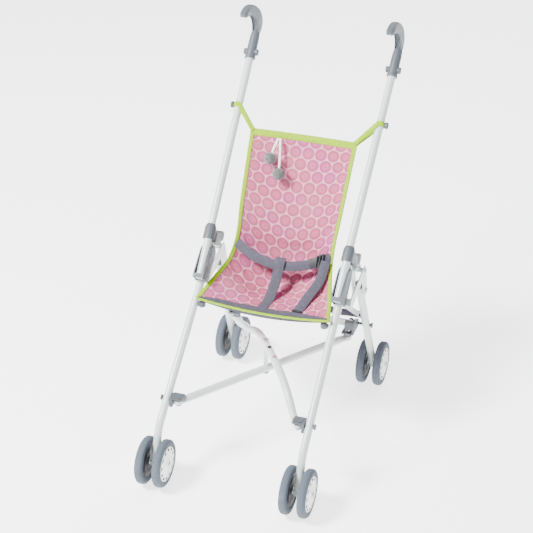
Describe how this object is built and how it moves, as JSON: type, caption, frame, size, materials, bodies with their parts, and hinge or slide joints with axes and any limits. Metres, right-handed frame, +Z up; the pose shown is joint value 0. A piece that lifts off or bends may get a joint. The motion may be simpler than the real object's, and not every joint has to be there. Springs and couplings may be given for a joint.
{
  "type": "doll stroller",
  "caption": "Umbrella-folding doll stroller: tube side frames on twin castors, crossed tubes below, cloth sling seat with lap belt, hooked handles.",
  "frame": {"origin": "on the ground, under the middle of the bounding box", "axes": "+X to the right seen from the front, +Y from the front wheels to the rear, +Z up"},
  "size_m": [0.2708, 0.4906, 0.5555],
  "materials": {
    "white_paint": "white powder coat, satin, on thin steel tube",
    "wheel_white": "white moulded plastic, satin",
    "grey_plastic": "blue-grey moulded plastic, fine grain",
    "dark_plastic": "dark grey moulded plastic",
    "tyre": "blue-grey foam rubber, matt",
    "bare_steel": "zinc-plated steel",
    "pink_print": "pink woven polyester with a pale ring print",
    "lime_binding": "lime green folded binding tape, stitched",
    "grey_webbing": "grey woven webbing",
    "ribbon_white": "white satin ribbon",
    "pompom_felt": "grey felted wool ball"
  },
  "bodies": {
    "left_frame": {"left_handle_tube": "white_paint", "left_handle": "grey_plastic", "left_hinge_cap": "grey_plastic", "left_hinge_channel": "grey_plastic", "left_front_leg": "white_paint", "left_rear_arm": "white_paint", "left_front_axle": "bare_steel", "left_top_loop": "lime_binding", "left_front_clip": "grey_plastic", "seat_sling": "pink_print", "harness": "grey_webbing", "buckle": "dark_plastic", "belt_tail": "grey_webbing", "long_pompom": "pompom_felt", "long_ribbon": "ribbon_white", "short_pompom": "pompom_felt", "short_ribbon": "ribbon_white"},
    "right_frame": {"right_handle_tube": "white_paint", "right_handle": "grey_plastic", "right_hinge_cap": "grey_plastic", "right_hinge_channel": "grey_plastic", "right_front_leg": "white_paint", "right_rear_arm": "white_paint", "right_front_axle": "bare_steel", "right_top_loop": "lime_binding", "right_front_clip": "grey_plastic"},
    "left_front_bracket": {"left_front_bracket": "grey_plastic"},
    "right_front_bracket": {"right_front_bracket": "grey_plastic"},
    "cross_lower": {"cross_tube_lower": "white_paint"},
    "cross_upper": {"cross_tube_upper": "white_paint", "centre_rivet": "bare_steel"},
    "left_rear_leg": {"left_rear_leg": "white_paint", "left_rear_leg_cap": "grey_plastic", "left_rear_axle": "bare_steel", "rear_band": "grey_webbing"},
    "left_rear_bracket": {"left_rear_bracket": "grey_plastic"},
    "left_stay": {"left_stay": "bare_steel"},
    "left_brace": {"left_brace": "white_paint"},
    "left_front_outer_wheel": {"left_front_outer_hub": "wheel_white", "left_front_outer_tyre": "tyre"},
    "left_front_inner_wheel": {"left_front_inner_hub": "wheel_white", "left_front_inner_tyre": "tyre"},
    "left_rear_outer_wheel": {"left_rear_outer_hub": "wheel_white", "left_rear_outer_tyre": "tyre"},
    "left_rear_inner_wheel": {"left_rear_inner_hub": "wheel_white", "left_rear_inner_tyre": "tyre"},
    "right_rear_leg": {"right_rear_leg": "white_paint", "right_rear_leg_cap": "grey_plastic", "right_rear_axle": "bare_steel"},
    "right_rear_bracket": {"right_rear_bracket": "grey_plastic"},
    "right_stay": {"right_stay": "bare_steel"},
    "right_brace": {"right_brace": "white_paint"},
    "right_front_outer_wheel": {"right_front_outer_hub": "wheel_white", "right_front_outer_tyre": "tyre"},
    "right_front_inner_wheel": {"right_front_inner_hub": "wheel_white", "right_front_inner_tyre": "tyre"},
    "right_rear_outer_wheel": {"right_rear_outer_hub": "wheel_white", "right_rear_outer_tyre": "tyre"},
    "right_rear_inner_wheel": {"right_rear_inner_hub": "wheel_white", "right_rear_inner_tyre": "tyre"}
  },
  "joints": [
    {"name": "fold", "type": "hinge", "parent": "left_front_bracket", "child": "cross_lower", "pos_m": [-0.0864, -0.16125, 0.105], "axis": [0, 0, 1], "range_deg": [0, 23], "deforming": ["seat_sling", "harness", "buckle", "belt_tail", "rear_band"]},
    {"name": "left_bracket_tilt", "type": "hinge", "parent": "left_frame", "child": "left_front_bracket", "pos_m": [-0.103, -0.16275, 0.108], "axis": [1, 0, 0], "range_deg": [0, 8.06]},
    {"name": "centre_pin", "type": "hinge", "parent": "cross_lower", "child": "cross_upper", "pos_m": [0, -0.04275, 0.117], "axis": [0, 0, 1], "range_deg": [-46, 0]},
    {"name": "right_front_pin", "type": "hinge", "parent": "cross_upper", "child": "right_front_bracket", "pos_m": [0.0864, -0.16125, 0.105], "axis": [0, 0, 1], "range_deg": [0, 23]},
    {"name": "right_bracket_tilt", "type": "hinge", "parent": "right_front_bracket", "child": "right_frame", "pos_m": [0.103, -0.16275, 0.108], "axis": [1, 0, 0], "range_deg": [-8.06, 0]},
    {"name": "left_rear_leg_hinge", "type": "hinge", "parent": "left_frame", "child": "left_rear_leg", "pos_m": [-0.107, 0.06125, 0.198], "axis": [1, 0, 0], "range_deg": [0, 42.97]},
    {"name": "left_rear_bracket_hinge", "type": "hinge", "parent": "left_rear_leg", "child": "left_rear_bracket", "pos_m": [-0.1096, 0.09345, 0.121], "axis": [1, 0, 0], "range_deg": [-34.91, 0]},
    {"name": "left_stay_hinge", "type": "hinge", "parent": "left_frame", "child": "left_stay", "pos_m": [-0.1013, -0.01172, 0.21617], "axis": [1, 0, 0], "range_deg": [0, 19.17]},
    {"name": "left_brace_hinge", "type": "hinge", "parent": "left_rear_bracket", "child": "left_brace", "pos_m": [-0.089, 0.07925, 0.128], "axis": [0, 1, 0], "range_deg": [-66.3, 0]},
    {"name": "right_rear_leg_hinge", "type": "hinge", "parent": "right_frame", "child": "right_rear_leg", "pos_m": [0.107, 0.06125, 0.198], "axis": [1, 0, 0], "range_deg": [0, 42.97]},
    {"name": "right_rear_bracket_hinge", "type": "hinge", "parent": "right_rear_leg", "child": "right_rear_bracket", "pos_m": [0.1096, 0.09345, 0.121], "axis": [1, 0, 0], "range_deg": [-34.91, 0]},
    {"name": "right_stay_hinge", "type": "hinge", "parent": "right_frame", "child": "right_stay", "pos_m": [0.1013, -0.01172, 0.21617], "axis": [1, 0, 0], "range_deg": [0, 19.17]},
    {"name": "right_brace_hinge", "type": "hinge", "parent": "right_rear_bracket", "child": "right_brace", "pos_m": [0.089, 0.07925, 0.128], "axis": [0, 1, 0], "range_deg": [0, 66.3]},
    {"name": "left_front_outer_wheel_spin", "type": "hinge", "parent": "left_frame", "child": "left_front_outer_wheel", "pos_m": [-0.1164, -0.21145, 0.0338], "axis": [1, 0, 0], "continuous": true},
    {"name": "left_front_inner_wheel_spin", "type": "hinge", "parent": "left_frame", "child": "left_front_inner_wheel", "pos_m": [-0.0906, -0.21145, 0.0338], "axis": [1, 0, 0], "continuous": true},
    {"name": "left_rear_outer_wheel_spin", "type": "hinge", "parent": "left_rear_leg", "child": "left_rear_outer_wheel", "pos_m": [-0.1255, 0.12995, 0.0338], "axis": [1, 0, 0], "continuous": true},
    {"name": "left_rear_inner_wheel_spin", "type": "hinge", "parent": "left_rear_leg", "child": "left_rear_inner_wheel", "pos_m": [-0.0997, 0.12995, 0.0338], "axis": [1, 0, 0], "continuous": true},
    {"name": "right_front_outer_wheel_spin", "type": "hinge", "parent": "right_frame", "child": "right_front_outer_wheel", "pos_m": [0.1164, -0.21145, 0.0338], "axis": [1, 0, 0], "continuous": true},
    {"name": "right_front_inner_wheel_spin", "type": "hinge", "parent": "right_frame", "child": "right_front_inner_wheel", "pos_m": [0.0906, -0.21145, 0.0338], "axis": [1, 0, 0], "continuous": true},
    {"name": "right_rear_outer_wheel_spin", "type": "hinge", "parent": "right_rear_leg", "child": "right_rear_outer_wheel", "pos_m": [0.1255, 0.12995, 0.0338], "axis": [1, 0, 0], "continuous": true},
    {"name": "right_rear_inner_wheel_spin", "type": "hinge", "parent": "right_rear_leg", "child": "right_rear_inner_wheel", "pos_m": [0.0997, 0.12995, 0.0338], "axis": [1, 0, 0], "continuous": true}
  ],
  "couplings": [
    {"joint": "left_bracket_tilt", "follows": "fold", "ratio": 0.35043},
    {"joint": "centre_pin", "follows": "fold", "ratio": -2},
    {"joint": "right_front_pin", "follows": "fold", "ratio": 1},
    {"joint": "right_bracket_tilt", "follows": "fold", "ratio": -0.35043},
    {"joint": "left_rear_leg_hinge", "follows": "fold", "ratio": 1.8683},
    {"joint": "left_rear_bracket_hinge", "follows": "fold", "ratio": -1.5178},
    {"joint": "left_stay_hinge", "follows": "fold", "ratio": 0.83348},
    {"joint": "left_brace_hinge", "follows": "fold", "ratio": -2.8826},
    {"joint": "right_rear_leg_hinge", "follows": "fold", "ratio": 1.8683},
    {"joint": "right_rear_bracket_hinge", "follows": "fold", "ratio": -1.5178},
    {"joint": "right_stay_hinge", "follows": "fold", "ratio": 0.83348},
    {"joint": "right_brace_hinge", "follows": "fold", "ratio": 2.8826}
  ]
}
